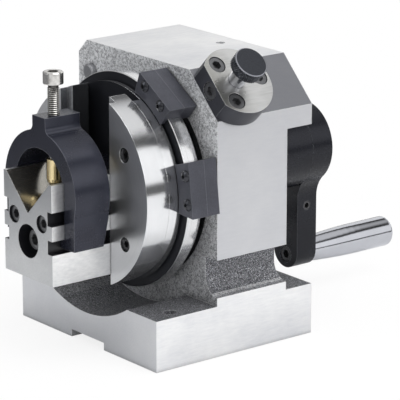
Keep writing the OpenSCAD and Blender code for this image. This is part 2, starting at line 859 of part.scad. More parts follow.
module large_screw_place() {
    translate([0, 0, axis_h - large_down]) rotate([90, 0, 0]) children();
}

// The front view of the vee block
module vee_outline() {
    half = vee_top - apex_z;
    difference() {
        translate([-vee_x, vee_z0]) square([2 * vee_x, vee_top - vee_z0]);
        polygon([[0, apex_z], [half + cut, vee_top + cut], [-half - cut, vee_top + cut]]);
        for (down = [groove_a, groove_b]) for (s = [-1, 1])
            translate([s * vee_x - groove_d, axis_h - down - groove_h / 2])
                square([2 * groove_d, groove_h]);
    }
}

module vee_block() {
    color("silver") difference() {
        yplate(vee_y0, rail_y) vee_outline();
        small_screw_places() translate([0, 0, -rail_y - cut]) cylinder(d = small_d, h = vee_l + 2 * cut);
        small_screw_places() translate([0, 0, -vee_y0 - small_sink])
            cylinder(r = 4.4, h = small_sink + cut);
        large_screw_place() translate([0, 0, -rail_y - cut]) cylinder(d = large_d, h = vee_l + 2 * cut);
        large_screw_place() translate([0, 0, -vee_y0 - large_sink])
            cylinder(r = 8.4, h = large_sink + cut);
    }
}

module vee_block_screws() {
    color("dimgray") small_screw_places() translate([0, 0, -vee_y0 - small_sink])
        cap_screw(small_d, 8.2, 4.8, vee_l - small_sink + 8, 4);
}

module slide_clamp_screw() {
    color("silver") large_screw_place() translate([0, 0, -vee_y0 - large_sink])
        cap_screw(large_d, 10, 6, vee_l - large_sink + 8, 5);
}

// The front view of the yoke: a round top, straight legs and a slot over the vee block
module yoke_outline() {
    inner_x = vee_x + slide_gap;
    // Place of the hollow curves that join the flat top to the round top
    fillet_x = boss_w / 2 + boss_fillet;
    fillet_z = sqrt(pow(yoke_r + boss_fillet, 2) - pow(fillet_x, 2));
    difference() {
        union() {
            translate([0, yoke_z]) circle(r = yoke_r);
            translate([-leg_x, leg_z]) square([2 * leg_x, yoke_z - leg_z]);
            translate([-boss_w / 2, yoke_z]) square([boss_w, yoke_r + boss_up]);
            translate([-fillet_x * 0.95, yoke_z + yoke_r * 0.8])
                square([2 * fillet_x * 0.95, fillet_z - yoke_r * 0.8]);
        }
        for (s = [-1, 1]) translate([s * fillet_x, yoke_z + fillet_z]) circle(r = boss_fillet + bite);
        translate([0, yoke_z]) circle(r = yoke_hole_r);
        translate([-inner_x, leg_z - cut]) square([2 * inner_x, vee_top + slide_gap - leg_z + cut]);
        translate([-yoke_r - cut, leg_z - yoke_r]) square([2 * yoke_r + 2 * cut, yoke_r]);
    }
    // hooks that run in the lower grooves of the vee block
    hook_w = groove_d + cut;
    hook_x = vee_x - groove_d + slide_gap + hook_w / 2;
    for (s = [-1, 1]) translate([s * hook_x - hook_w / 2, leg_z]) square([hook_w, hook_z - leg_z]);
}

module clamp_yoke() {
    color("#34363f") difference() {
        yplate(yoke_y0, yoke_y1) yoke_outline();
        translate([0, clamp_y, yoke_z]) cylinder(r = clamp_r + run, h = boss_z - yoke_z + cut);
        // The feet are cut back at the rear
        translate([-yoke_r - cut, 0, 0]) rotate([90, 0, 90]) linear_extrude(height = 2 * (yoke_r + cut))
            polygon([[yoke_y1 - foot_in, leg_z - cut], [yoke_y1 + cut, leg_z - cut],
                     [yoke_y1 + cut, leg_z + foot_h], [yoke_y1, leg_z + foot_h]]);
    }
}

// The clamp screw's thread is a stack of rounded ridges at the thread's pitch
module clamp_screw() {
    pitch = 1;
    n = floor(clamp_l / pitch) - 1;
    depth = 0.45;
    color("silver") translate([0, clamp_y, head_z - clamp_l]) difference() {
        rotate_extrude() polygon(concat(
            [[0, -nose], [clamp_r - 1.2, -nose], [clamp_r - 1.2, 0], [clamp_r - depth, 0]],
            [for (i = [0:n - 1]) for (k = [0:1])
                [k == 0 ? clamp_r : clamp_r - depth, (i + 0.5 * (k + 1)) * pitch]],
            [[clamp_r - depth, clamp_l], [clamp_r + 1.9, clamp_l], [clamp_r + 2, clamp_l + 0.4],
             [clamp_r + 2, clamp_l + 5.5], [clamp_r + 1.5, clamp_l + 6], [0, clamp_l + 6]]));
        translate([0, 0, clamp_l + 3]) cylinder(d = 5 / cos(30), h = 4, $fn = 6);
    }
}

module clamp_tip() {
    color("goldenrod") translate([0, clamp_y, tip_z]) difference() {
        rotate_extrude() polygon([[0, 0], [tip_r - 1.3, 0], [tip_r - 0.4, 1.2], [tip_r, 2.8],
                                  [tip_r, tip_l - 0.5], [tip_r - 0.5, tip_l], [0, tip_l]]);
        translate([0, 0, tip_l - nose - 0.2]) cylinder(r = clamp_r - 1.2 + run, h = nose + cut);
    }
}

// The outline of the plunger block on the chamfer: round, with a straight side at the front
module block_outline() {
    intersection() {
        circle(r = block_r);
        translate([-block_r - cut, -block_y]) square(2 * (block_r + cut));
    }
}

// The underside of the plunger block; z runs out through the block
module on_block() {
    on_chamfer() translate([0, wall_y + block_y - plunger_y, cham_out]) children();
}

// The places of the plunger block's three screws, on the chamfer
module block_screw_places() {
    for (p = [[-block_screw_x, block_screw_y], [block_screw_x, block_screw_y], [0, block_back_y]])
        on_chamfer() translate([p[0], wall_y + p[1] - plunger_y, cham_out]) children();
}

module plunger_block() {
    color("silver") difference() {
        on_block() linear_extrude(height = block_t) block_outline();
        on_chamfer() translate([0, 0, cham_out - cut]) cylinder(r = stem_r + run, h = block_t + 2 * cut);
        block_screw_places() translate([0, 0, -cut]) cylinder(d = m5, h = block_t + 2 * cut);
        block_screw_places() translate([0, 0, block_t - block_sink])
            cylinder(r = m5_sink_r, h = block_sink + cut);
        side_screw_place() translate([0, 0, stem_r - plunger_back]) cylinder(d = m5, h = plunger_back);
        side_screw_place() translate([0, 0, -side_sink]) cylinder(r = m5_sink_r, h = side_sink + cut);
    }
}

// The screw in the straight side of the plunger block; z runs forward, out of that side
module side_screw_place() {
    on_chamfer() translate([0, wall_y - plunger_y, cham_out + block_t / 2]) rotate([90, 0, 0])
        children();
}

module plunger_block_screws() {
    color("dimgray") block_screw_places() translate([0, 0, block_t - block_sink])
        cap_screw(m5, m5_head, 5, block_t - block_sink + block_screw_in - 1, 4);
}

// The side screw bears on the stem and holds the plunger where it is set
module plunger_side_screw() {
    color("dimgray") side_screw_place() translate([0, 0, -side_sink])
        cap_screw(m5, m5_head, 3.2, plunger_back - stem_r - run - side_sink, 4);
}

module plunger_bush() {
    z0 = drum_r + 2;
    color("gainsboro") on_chamfer() difference() {
        translate([0, 0, z0]) cylinder(r = bush_r, h = cham_out - z0);
        translate([0, 0, z0 - cut]) cylinder(r = stem_r + run, h = cham_out);
        translate([0, 0, flange_z0 - pull - 1]) cylinder(r = flange_r + run, h = cham_out);
    }
}

module plunger_pin() {
    neck = stem_r - 1;
    color("gainsboro") on_chamfer() rotate_extrude() polygon([
        [0, tip_end], [plunger_tip_r - 0.6, tip_end], [plunger_tip_r, tip_end + 1.2],
        [plunger_tip_r, tip_end + 8], [stem_r, tip_end + 9], [stem_r, flange_z0],
        [flange_r, flange_z0], [flange_r, flange_z1], [stem_r, flange_z1], [stem_r, knob_z0 + 1],
        [neck, knob_z0 + 1], [neck, knob_z0 + stem_in], [0, knob_z0 + stem_in]]);
}

// The spring, a coil of square wire swept round the stem
module plunger_spring() {
    steps = 20 * turns;
    w = wire_d / 2;
    h0 = flange_z1 + w + slide_gap;
    h1 = cham_out - w - slide_gap;
    ring = [[-w, 0], [0, -w], [w, 0], [0, w]];
    pts = [for (i = [0:steps]) for (p = ring) let (a = 360 * turns * i / steps)
        [(spring_r + p[0]) * cos(a), (spring_r + p[0]) * sin(a), h0 + (h1 - h0) * i / steps + p[1]]];
    sides = [for (i = [0:steps - 1]) for (k = [0:3])
        [4 * i + k, 4 * i + (k + 1) % 4, 4 * i + 4 + (k + 1) % 4, 4 * i + 4 + k]];
    color("gray") on_chamfer()
        polyhedron(points = pts, faces = concat([[3, 2, 1, 0]], sides,
            [[4 * steps, 4 * steps + 1, 4 * steps + 2, 4 * steps + 3]]), convexity = 10);
}

// The knob is screwed onto the stem; its grip is a ring of shallow ribs under a plain top
module plunger_knob() {
    ribs = 36;
    neck = stem_r - 1;
    color("#1d1e22") on_chamfer() translate([0, 0, knob_z0]) difference() {
        rotate_extrude() polygon([
            [stem_r, 0], [knob_r - 1.2, 0], [knob_r, 1], [knob_r, knob_h - 0.7], [knob_r - 0.7, knob_h],
            [0, knob_h], [0, stem_in], [neck, stem_in], [neck, 1], [stem_r, 1]]);
        for (i = [0:ribs - 1]) rotate([0, 0, 360 * i / ribs])
            translate([knob_r + 0.25, 0, 1.2]) cylinder(r = 0.5, h = knob_h - 2.2, $fn = 4);
    }
}

housing();
fixed_stop_pin();
front_bearing();
rear_bearing();
rear_cover();
rear_cover_screws();
spindle();
slide_rail_left();
slide_rail_right();
rail_screws();
stop_ring();
index_drum();
drum_key();
spacer_sleeve();
lock_nut();
rear_collar();
collar_set_screw();
crank_arm();
crank_washer();
crank_screw();
arm_set_screw();
handle_screw();
handle_grip();
upper_stop_jaw();
upper_stop_back();
upper_stop_screws();
lower_stop_jaw();
lower_stop_back();
lower_stop_screws();
t_slide();
vee_block();
vee_block_screws();
slide_clamp_screw();
clamp_yoke();
clamp_screw();
clamp_tip();
plunger_block();
plunger_block_screws();
plunger_side_screw();
plunger_bush();
plunger_pin();
plunger_spring();
plunger_knob();
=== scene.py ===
import bpy
import math
from mathutils import Matrix, Vector
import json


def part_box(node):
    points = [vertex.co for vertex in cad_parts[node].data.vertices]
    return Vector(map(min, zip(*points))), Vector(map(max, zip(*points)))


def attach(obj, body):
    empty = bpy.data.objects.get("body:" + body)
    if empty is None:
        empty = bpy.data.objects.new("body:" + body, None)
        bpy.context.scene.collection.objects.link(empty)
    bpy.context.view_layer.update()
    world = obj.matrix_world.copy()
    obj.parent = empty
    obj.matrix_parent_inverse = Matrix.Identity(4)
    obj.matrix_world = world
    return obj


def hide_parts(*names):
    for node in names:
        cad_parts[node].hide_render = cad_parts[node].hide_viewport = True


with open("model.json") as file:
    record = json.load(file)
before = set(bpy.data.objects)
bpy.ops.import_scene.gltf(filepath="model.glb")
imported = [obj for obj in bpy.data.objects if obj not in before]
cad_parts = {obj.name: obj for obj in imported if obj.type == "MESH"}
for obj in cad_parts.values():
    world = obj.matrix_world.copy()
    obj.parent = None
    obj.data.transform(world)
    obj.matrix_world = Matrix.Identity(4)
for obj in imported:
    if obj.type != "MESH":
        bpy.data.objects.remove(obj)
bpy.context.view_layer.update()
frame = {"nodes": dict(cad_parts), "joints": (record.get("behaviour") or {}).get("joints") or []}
nodes = frame["nodes"]


def middle(node):
    lo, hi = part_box(node)
    return (lo + hi) / 2


# Places on the object in metres, taken from the frame where a joint or a node gives them.
axis_z = next(j["pos_m"][2] for j in frame["joints"] if j["name"] == "spindle_turn")
body_lo, body_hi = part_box("housing")
disc_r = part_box("spindle")[1].x
ring_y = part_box("stop_ring")[0].y
vee_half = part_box("vee_block")[1].x
tol = 0.0004
key_depth = 0.0038
base_h = 0.0258
raised_h = 0.0300
wall_y = 0.0372
bore_r = 0.03317
chamfer_z = 0.1
slot_half = 0.0212
black_wall_r = 0.0501

# The knob: its size, and where the plunger's line and the knob's underside lie.
knob_r, knob_h, knob_bevel = 0.0085, 0.0067, 0.0004
knob_from, plunger_y = 0.088736, 0.0502


# Small helpers for shader trees.
class Tree:
    def __init__(self, name):
        self.mat = bpy.data.materials.new(name)
        self.mat.use_nodes = True
        self.nt = self.mat.node_tree
        self.bsdf = self.nt.nodes["Principled BSDF"]
        coord = self.add_node("TexCoord")
        self.pos = coord.outputs["Object"]
        self.nor = coord.outputs["Normal"]
        self._p = None
        self._n = None

    def add_node(self, kind):
        return self.nt.nodes.new("ShaderNode" + kind)

    def link(self, a, b):
        self.nt.links.new(a, b)

    def put(self, socket, value):
        if hasattr(value, "is_output"):
            self.link(value, socket)
        else:
            socket.default_value = value

    def op(self, kind, a, b=0.0):
        n = self.add_node("Math")
        n.operation = kind
        self.put(n.inputs[0], a)
        self.put(n.inputs[1], b)
        return n.outputs[0]

    def add(self, a, b):
        return self.op("ADD", a, b)

    def sub(self, a, b):
        return self.op("SUBTRACT", a, b)

    def mul(self, a, b):
        return self.op("MULTIPLY", a, b)

    def gt(self, a, b):
        return self.op("GREATER_THAN", a, b)

    def lt(self, a, b):
        return self.op("LESS_THAN", a, b)

    def size(self, a):
        return self.op("ABSOLUTE", a)

    def length(self, a, b):
        return self.op("SQRT", self.add(self.mul(a, a), self.mul(b, b)))

    # Masks are 1 where a thing holds and 0 elsewhere.
    def both(self, *masks):
        m = masks[0]
        for k in masks[1:]:
            m = self.mul(m, k)
        return m

    def either(self, *masks):
        m = masks[0]
        for k in masks[1:]:
            m = self.op("MAXIMUM", m, k)
        return m

    def parts(self, vector):
        n = self.add_node("SeparateXYZ")
        self.link(vector, n.inputs[0])
        return n.outputs

    def xyz(self):
        if self._p is None:
            self._p = self.parts(self.pos)
        return self._p

    def nxyz(self):
        if self._n is None:
            self._n = self.parts(self.nor)
        return self._n

    # Distance from the spindle line.
    def radius(self):
        x, _, z = self.xyz()
        return self.length(x, self.sub(z, axis_z))

    # Straight from a at lo to b at hi, and level outside.
    def ramp(self, value, lo, hi, a=0.0, b=1.0):
        n = self.add_node("MapRange")
        n.clamp = True
        self.put(n.inputs["Value"], value)
        n.inputs["From Min"].default_value = lo
        n.inputs["From Max"].default_value = hi
        n.inputs["To Min"].default_value = a
        n.inputs["To Max"].default_value = b
        return n.outputs["Result"]

    def stretched(self, sx, sy, sz):
        n = self.add_node("Mapping")
        n.inputs["Scale"].default_value = (sx, sy, sz)
        self.link(self.pos, n.inputs["Vector"])
        return n.outputs[0]

    def noise(self, scale, detail=3.0, rough=0.5, vector=None, distortion=0.0):
        n = self.add_node("TexNoise")
        n.inputs["Scale"].default_value = scale
        n.inputs["Detail"].default_value = detail
        n.inputs["Roughness"].default_value = rough
        n.inputs["Distortion"].default_value = distortion
        self.link(self.pos if vector is None else vector, n.inputs["Vector"])
        return n.outputs["Fac"]

    # Two patterns in one tone, the first with the given share.
    def tone(self, first, second, share):
        return self.add(self.mul(first, share), self.mul(second, 1.0 - share))

    def mix(self, fac, a, b):
        n = self.add_node("Mix")
        n.data_type = "RGBA"
        self.put(n.inputs[0], fac)
        self.put(n.inputs[6], a)
        self.put(n.inputs[7], b)
        return n.outputs[2]

    def mixf(self, fac, a, b):
        n = self.add_node("Mix")
        n.data_type = "FLOAT"
        self.put(n.inputs[0], fac)
        self.put(n.inputs[2], a)
        self.put(n.inputs[3], b)
        return n.outputs[0]

    def mixv(self, fac, a, b):
        n = self.add_node("Mix")
        n.data_type = "VECTOR"
        self.link(fac, n.inputs[0])
        self.link(a, n.inputs[4])
        self.link(b, n.inputs[5])
        return n.outputs[1]

    # A colour between dark and light, as the tone says.
    def shades(self, tone, dark, light):
        return self.mix(self.ramp(tone, 0.3, 0.7), dark, light)

    # The colour c, with a share of another where the mask holds.
    def tint(self, c, mask, share, other):
        return self.mix(self.mul(mask, share), c, other)

    def bump(self, height, strength, distance, before=None):
        n = self.add_node("Bump")
        n.inputs["Distance"].default_value = distance
        self.put(n.inputs["Strength"], strength)
        self.link(height, n.inputs["Height"])
        if before is not None:
            self.link(before, n.inputs["Normal"])
        return n.outputs["Normal"]

    # A normal that rounds sharp edges off over the given width.
    def rounded(self, width):
        n = self.add_node("Bevel")
        n.samples = 4
        n.inputs["Radius"].default_value = width
        return n.outputs[0]

    # 1 along sharp edges and 0 on flats, and the rounded normal.
    def edge(self, width):
        normal = self.rounded(width)
        geometry = self.add_node("NewGeometry")
        dot = self.add_node("VectorMath")
        dot.operation = "DOT_PRODUCT"
        self.link(normal, dot.inputs[0])
        self.link(geometry.outputs["Normal"], dot.inputs[1])
        return self.ramp(dot.outputs["Value"], 0.80, 0.995, 1.0, 0.0), normal

    # 1 in narrow places and beside higher parts, 0 on open faces: the mask for painted shade.
    def crevice_shade(self, distance, lo=0.3, hi=0.7):
        n = self.add_node("AmbientOcclusion")
        n.samples = 6
        n.inputs["Distance"].default_value = distance
        return self.ramp(n.outputs["AO"], lo, hi, 1.0, 0.0)

    def out(self, color, rough, metal, normal=None):
        self.put(self.bsdf.inputs["Base Color"], color)
        self.put(self.bsdf.inputs["Roughness"], rough)
        self.put(self.bsdf.inputs["Metallic"], metal)
        if normal is not None:
            self.link(normal, self.bsdf.inputs["Normal"])
        return self.mat


def rgb(r, g, b):
    return (r, g, b, 1.0)


# Masks of the housing's milled faces. Its other faces are rough cast.
def milled_faces(t):
    x, y, z = t.xyz()
    nx, ny, nz = t.nxyz()
    high = t.gt(z, chamfer_z)
    top = t.both(t.gt(z, body_hi.z - tol), t.gt(nz, 0.9))
    slope = t.both(t.gt(t.add(nx, nz), 1.39), high)
    left_slope = t.both(t.gt(t.sub(nz, nx), 1.39), high)
    right = t.both(t.gt(nx, 0.9), t.gt(x, body_hi.x - tol))
    left = t.both(t.lt(nx, -0.9), t.lt(x, body_lo.x + tol))
    front = t.both(t.lt(ny, -0.9), t.lt(y, body_lo.y + tol))
    back = t.both(t.gt(ny, 0.9), t.gt(y, body_hi.y - 0.0015))
    under = t.both(t.lt(nz, -0.9), t.lt(z, key_depth + tol))
    key = t.both(t.gt(t.size(nx), 0.9), t.lt(z, key_depth + tol))
    bore = t.both(t.lt(t.size(ny), 0.5), t.gt(y, wall_y + tol / 2), t.lt(t.radius(), bore_r))
    milled = t.either(top, slope, left_slope, right, left, front, back, under, key, bore)
    return milled, right, front, slope


# Milled faces: soft cloudy grey with fine straight marks. Painted shade makes the pad's side darker than
# the base's side, the front faces darker and the slope much darker.
def milled_look(t, right, front, slope):
    marks = t.noise(1300.0, 2.0, 0.6, t.stretched(1.0, 0.12, 0.8))
    tone = t.tone(t.noise(20.0, 6.0, 0.62), marks, 0.75)
    c = t.shades(tone, rgb(0.68, 0.69, 0.72), rgb(0.93, 0.93, 0.925))
    # Painted shade on the pad's side, above the base's side.
    side = t.mul(right, t.ramp(t.xyz()[2], 0.040, 0.050, 0.08, 0.70))
    c = t.mix(side, c, rgb(0.44, 0.445, 0.47))
    # Painted shade on the front faces, and much more on the slope.
    c = t.tint(c, front, 0.42, rgb(0.44, 0.45, 0.48))
    c = t.tint(c, slope, 0.88, rgb(0.10, 0.103, 0.118))
    return c, t.ramp(tone, 0.2, 0.8, 0.46, 0.40), marks


# Cast faces: hammered paint with fine bright flecks, with painted shade low down, strongest on faces
# turned sideways; darker on the base's top and in the hollow in front of the wall.
# The wall round the spindle is near black out to black_wall_r.
def cast_look(t):
    x, y, z = t.xyz()
    nx, ny, nz = t.nxyz()
    lump = t.noise(900.0, 3.0, 0.62, None, 0.5)
    fleck = t.noise(2100.0, 2.0, 0.7)
    lumps = t.ramp(lump, 0.40, 0.60)
    pale = t.mix(lumps, rgb(0.31, 0.315, 0.33), rgb(0.92, 0.93, 0.95))
    pale = t.mix(t.ramp(fleck, 0.54, 0.61), pale, rgb(1.0, 1.0, 1.0))
    # deep is a darker copy of the same paint.
    deep = t.mix(lumps, rgb(0.030, 0.031, 0.036), rgb(0.15, 0.153, 0.17))
    deep = t.mix(t.ramp(fleck, 0.57, 0.64), deep, rgb(0.70, 0.71, 0.74))
    sideways = t.gt(t.size(nx), 0.6)
    # Painted shade: the darker copy low down, 2.35 times as strong on faces turned sideways.
    c = t.mix(t.mul(t.ramp(z, 0.055, 0.09, 0.425, 0.0), t.mixf(sideways, 1.0, 2.35)), pale, deep)
    on_base = t.lt(z, raised_h + 0.0005)
    low = t.both(on_base, t.gt(nz, 0.3))
    hole = t.both(on_base, t.lt(y, wall_y))
    ledge = t.both(t.lt(z, base_h + tol), t.gt(nz, 0.95))
    c = t.mix(t.mul(t.either(low, hole), t.mixf(ledge, 0.60, 0.90)), c, deep)
    c = t.mix(t.ramp(t.noise(45.0, 3.0, 0.5), 0.3, 0.7, 0.0, 0.18), c, rgb(0.10, 0.10, 0.105))
    # Near black on the wall round the spindle, out to black_wall_r.
    near = t.ramp(t.radius(), black_wall_r - 0.0002, black_wall_r + 0.0002, 1.0, 0.0)
    wall = t.both(t.lt(ny, -0.9), t.gt(y, wall_y - 0.0012), t.lt(y, wall_y + tol), t.gt(z, base_h + tol))
    c = t.mix(t.both(near, wall), c, rgb(0.012, 0.0125, 0.015))
    return c, t.add(lump, t.mul(fleck, 0.4))


def housing_material():
    t = Tree("cast_body")
    milled, right, front, slope = milled_faces(t)
    milled_c, milled_r, marks = milled_look(t, right, front, slope)
    cast_c, grain = cast_look(t)
    edge, normal = t.edge(0.0005)
    c = t.mix(milled, cast_c, milled_c)
    # Painted shade in crevices.
    c = t.tint(c, t.crevice_shade(0.004, 0.25, 0.75), 0.7, rgb(0.04, 0.041, 0.045))
    # Painted highlight along sharp edges.
    c = t.tint(c, edge, 0.75, rgb(0.86, 0.86, 0.86))
    cast_n = t.bump(grain, 1.0, 0.00045, normal)
    milled_n = t.bump(marks, 0.25, 0.00002, normal)
    rough = t.mixf(milled, 0.42, milled_r)
    return t.out(c, rough, t.mixf(milled, 0.45, 0.85), t.mixv(milled, cast_n, milled_n))


# Vee block: ground all over, with polished flanks in the vee and black side grooves. Painted shade in
# crevices, on the front and back faces and in the screw sinks; a painted highlight along the edges.
def vee_material():
    t = Tree("ground_block")
    x, y, z = t.xyz()
    nx, ny, nz = t.nxyz()
    ax = t.size(x)
    front = t.gt(t.size(ny), 0.7)
    marks = t.noise(700.0, 3.0, 0.6, t.stretched(1.0, 0.30, 1.0))
    grain = t.noise(1500.0, 2.0, 0.6)
    tone = t.tone(t.noise(40.0, 4.0, 0.55), t.mixf(front, marks, grain), 0.5)
    c = t.shades(tone, rgb(0.66, 0.665, 0.675), rgb(0.92, 0.92, 0.915))
    # Painted shade in crevices.
    c = t.tint(c, t.crevice_shade(0.002), 0.8, rgb(0.05, 0.05, 0.055))
    # Painted shade on the front and back faces, stronger higher up.
    c = t.mix(t.mul(front, t.ramp(z, 0.045, 0.085, 0.62, 0.85)), c, rgb(0.34, 0.35, 0.365))
    flank_low = axis_z - 0.0075
    flank = t.both(t.gt(nz, 0.6), t.lt(nz, 0.8), t.gt(z, flank_low))
    c = t.mix(flank, c, rgb(0.40, 0.385, 0.35))
    edge, normal = t.edge(0.0003)
    # Painted highlight along sharp edges.
    c = t.tint(c, edge, 0.6, rgb(0.87, 0.87, 0.87))

    # The yoke's two pairs of grooves, given by how far their middles lie below the spindle line.
    def groove(below, half=0.00352):
        return t.lt(t.size(t.sub(z, axis_z - below)), half)

    def sink(place_x, place_z, radius):
        return t.lt(t.length(t.sub(ax, place_x), t.sub(z, place_z)), radius)

    groove_d, skin = 0.0036, 0.0001
    grooves = t.both(t.either(groove(0.0066), groove(0.0208)),
                     t.gt(ax, vee_half - groove_d - skin), t.lt(ax, vee_half - skin))
    lo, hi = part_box("vee_block_screws")
    screw_r = (hi.z - lo.z) / 2
    sink_shade = t.either(sink(0.0, middle("slide_clamp_screw").z, 0.0085),
                     sink(hi.x - screw_r, hi.z - screw_r, 0.0045))
    # Painted shade in the screw sinks; the side grooves are black.
    dark = t.both(t.either(grooves, sink_shade), t.sub(1.0, front))
    c = t.mix(dark, c, rgb(0.012, 0.012, 0.015))
    rough = t.mixf(flank, t.ramp(tone, 0.3, 0.7, 0.42, 0.28), 0.14)
    return t.out(c, rough, t.mixf(dark, 0.92, 0.2), t.bump(tone, 0.5, 0.000008, normal))


# Plunger block: black oxide sides under a ground top, which is darker towards the front. Painted shade
# in crevices and a painted highlight along the edges.
def plate_material():
    t = Tree("ground_plate")
    nx, ny, nz = t.nxyz()
    top = t.gt(t.add(nx, nz), 1.38)
    marks = t.noise(900.0, 2.0, 0.6, t.stretched(1.0, 0.06, 1.0))
    fine = t.noise(1400.0, 2.0, 0.6)
    cloud = t.noise(55.0, 3.0, 0.5)
    tone = t.tone(cloud, marks, 0.6)
    ground = t.shades(tone, rgb(0.46, 0.462, 0.46), rgb(0.74, 0.74, 0.735))
    front_darkening = t.ramp(t.xyz()[1], wall_y + 0.0008, wall_y + 0.0168, 0.68, 0.0)
    ground = t.mix(front_darkening, ground, rgb(0.23, 0.225, 0.20))
    dark = t.shades(cloud, rgb(0.030, 0.031, 0.038), rgb(0.062, 0.064, 0.078))
    c = t.mix(top, dark, ground)
    # Painted shade in crevices.
    c = t.tint(c, t.crevice_shade(0.0022), 0.85, rgb(0.03, 0.03, 0.034))
    edge, normal = t.edge(0.0003)
    # Painted highlight along sharp edges.
    c = t.tint(c, edge, 0.55, rgb(0.80, 0.80, 0.80))
    rough = t.mixf(top, 0.36, t.ramp(tone, 0.3, 0.7, 0.34, 0.26))
    normal = t.bump(t.mixf(top, fine, marks), 0.5, 0.000008, normal)
    return t.out(c, rough, t.mixf(top, 0.40, 0.92), normal)


# Knob: black, lighter on the points of its knurl, with a painted highlight round its rim.
def knob_material():
    t = Tree("knob_black")
    x, y, z = t.xyz()
    up = t.sub(z, axis_z)
    across = t.mul(t.sub(x, up), math.sqrt(0.5))
    along = t.mul(t.add(x, up), math.sqrt(0.5))
    r = t.length(across, t.sub(y, plunger_y))
    fine = t.noise(1400.0, 2.0, 0.6)
    spots = t.noise(700.0, 2.0, 0.6)
    c = t.shades(fine, rgb(0.010, 0.012, 0.017), rgb(0.022, 0.025, 0.034))
    points = t.both(t.ramp(r, knob_r - 0.00032, knob_r - 0.00008), t.ramp(spots, 0.40, 0.60))
    rim = t.both(t.gt(along, knob_from + knob_h - 1.2 * knob_bevel),
                 t.ramp(r, knob_r - 0.00075, knob_r - 0.00065))
    # Painted highlight round the rim, and lighter knurl points.
    c = t.tint(c, t.either(points, rim), 0.8, rgb(0.34, 0.35, 0.39))
    return t.out(c, 0.38, 0.4, t.bump(fine, 0.3, 0.00001))


# Clamp screw: bright, with painted shade in the roots of its thread and in crevices.
def thread_material():
    t = Tree("bright_thread")
    x, y, z = t.xyz()
    screw_r, head_h = 0.0030, 0.0060
    head_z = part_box("clamp_screw")[1].z - head_h
    r = t.length(x, t.sub(y, middle("clamp_screw").y))
    root_shade = t.both(t.ramp(r, screw_r - 0.00035, screw_r - 0.00005, 1.0, 0.0), t.lt(z, head_z - tol / 2))
    cloud = t.noise(300.0, 3.0, 0.6)
    c = t.shades(cloud, rgb(0.46, 0.45, 0.43), rgb(0.72, 0.71, 0.69))
    # Painted shade in the thread's roots.
    c = t.tint(c, root_shade, 0.9, rgb(0.05, 0.048, 0.045))
    # Painted shade in crevices.
    c = t.tint(c, t.crevice_shade(0.002, 0.25, 0.75), 0.8, rgb(0.05, 0.05, 0.05))
    normal = t.bump(cloud, 0.3, 0.000004, t.rounded(0.00025))
    return t.out(c, t.ramp(cloud, 0.3, 0.7, 0.24, 0.16), 0.95, normal)


# Turned or ground steel with marks round the spindle line, a painted highlight along its edges, and
# painted shade in crevices and on its end faces low down.
# Front faces, and faces in the slot, are black within black_half of the middle and in front of black_y.
# Where slot_c is given, the faces along the slot have that colour and are polished.
def round_steel_material(name, dark, light, rough, black_half=0.0, black_y=None, slot_c=None):
    t = Tree(name)
    x, y, z = t.xyz()
    nx, ny, nz = t.nxyz()
    r = t.radius()
    flat = t.gt(t.size(ny), 0.7)
    pair = t.add_node("CombineXYZ")
    t.link(r, pair.inputs[0])
    t.link(y, pair.inputs[1])
    marks = t.noise(2600.0, 2.0, 0.6, pair.outputs[0])
    tone = t.tone(t.noise(35.0, 4.0, 0.55), marks, 0.5)
    c = t.shades(tone, dark, light)
    edge, normal = t.edge(0.0003)
    # Painted highlight along sharp edges.
    c = t.tint(c, edge, 0.6, rgb(0.85, 0.85, 0.86))
    # Painted shade on the end faces, more of it low down.
    c = t.mix(t.both(flat, t.ramp(z, 0.050, 0.085, 0.50, 0.0)), c, rgb(0.33, 0.335, 0.35))
    # Painted shade in crevices.
    c = t.tint(c, t.crevice_shade(0.002), 0.85, rgb(0.03, 0.03, 0.034))
    gloss = t.mixf(flat, t.ramp(tone, 0.3, 0.7, rough * 1.3, rough * 0.8), max(rough, 0.33))
    metal = 0.95
    if black_y is not None:
        within = t.both(t.lt(t.size(x), black_half), t.lt(y, black_y), t.lt(ny, 0.5))
        m = t.both(within, t.either(t.lt(ny, -0.7), t.lt(r, disc_r - tol)))
        c = t.mix(m, c, rgb(0.016, 0.017, 0.021))
        gloss = t.mixf(m, gloss, 0.45)
        metal = t.mixf(m, 0.95, 0.2)
        t.put(t.bsdf.inputs["Specular IOR Level"], t.mixf(m, 0.5, 0.12))
    if slot_c is not None:
        m = t.both(t.gt(t.size(nx), 0.99), t.lt(t.size(x), slot_half))
        c = t.mix(m, c, slot_c)
        gloss = t.mixf(m, gloss, 0.12)
    return t.out(c, gloss, metal, t.bump(marks, 0.5, 0.000004, normal))


# Black oxide: dark blue-grey satin. Its edges carry a painted highlight, or painted shade where edge_c
# is dark.
def black_material(name, dark, light, rough, edge_c=rgb(0.30, 0.31, 0.34), edge_f=0.5,
                   metal=0.35, edge_w=0.0004, spec=0.5):
    t = Tree(name)
    fine = t.noise(1400.0, 2.0, 0.6)
    tone = t.tone(t.noise(60.0, 3.0, 0.5), fine, 0.6)
    c = t.shades(tone, dark, light)
    edge, normal = t.edge(edge_w)
    # Painted highlight along the edges, or painted shade where edge_c is dark.
    c = t.tint(c, edge, edge_f, edge_c)
    t.bsdf.inputs["Specular IOR Level"].default_value = spec
    gloss = t.ramp(tone, 0.3, 0.7, rough * 1.2, rough * 0.85)
    return t.out(c, gloss, metal, t.bump(fine, 0.35, 0.00001, normal))


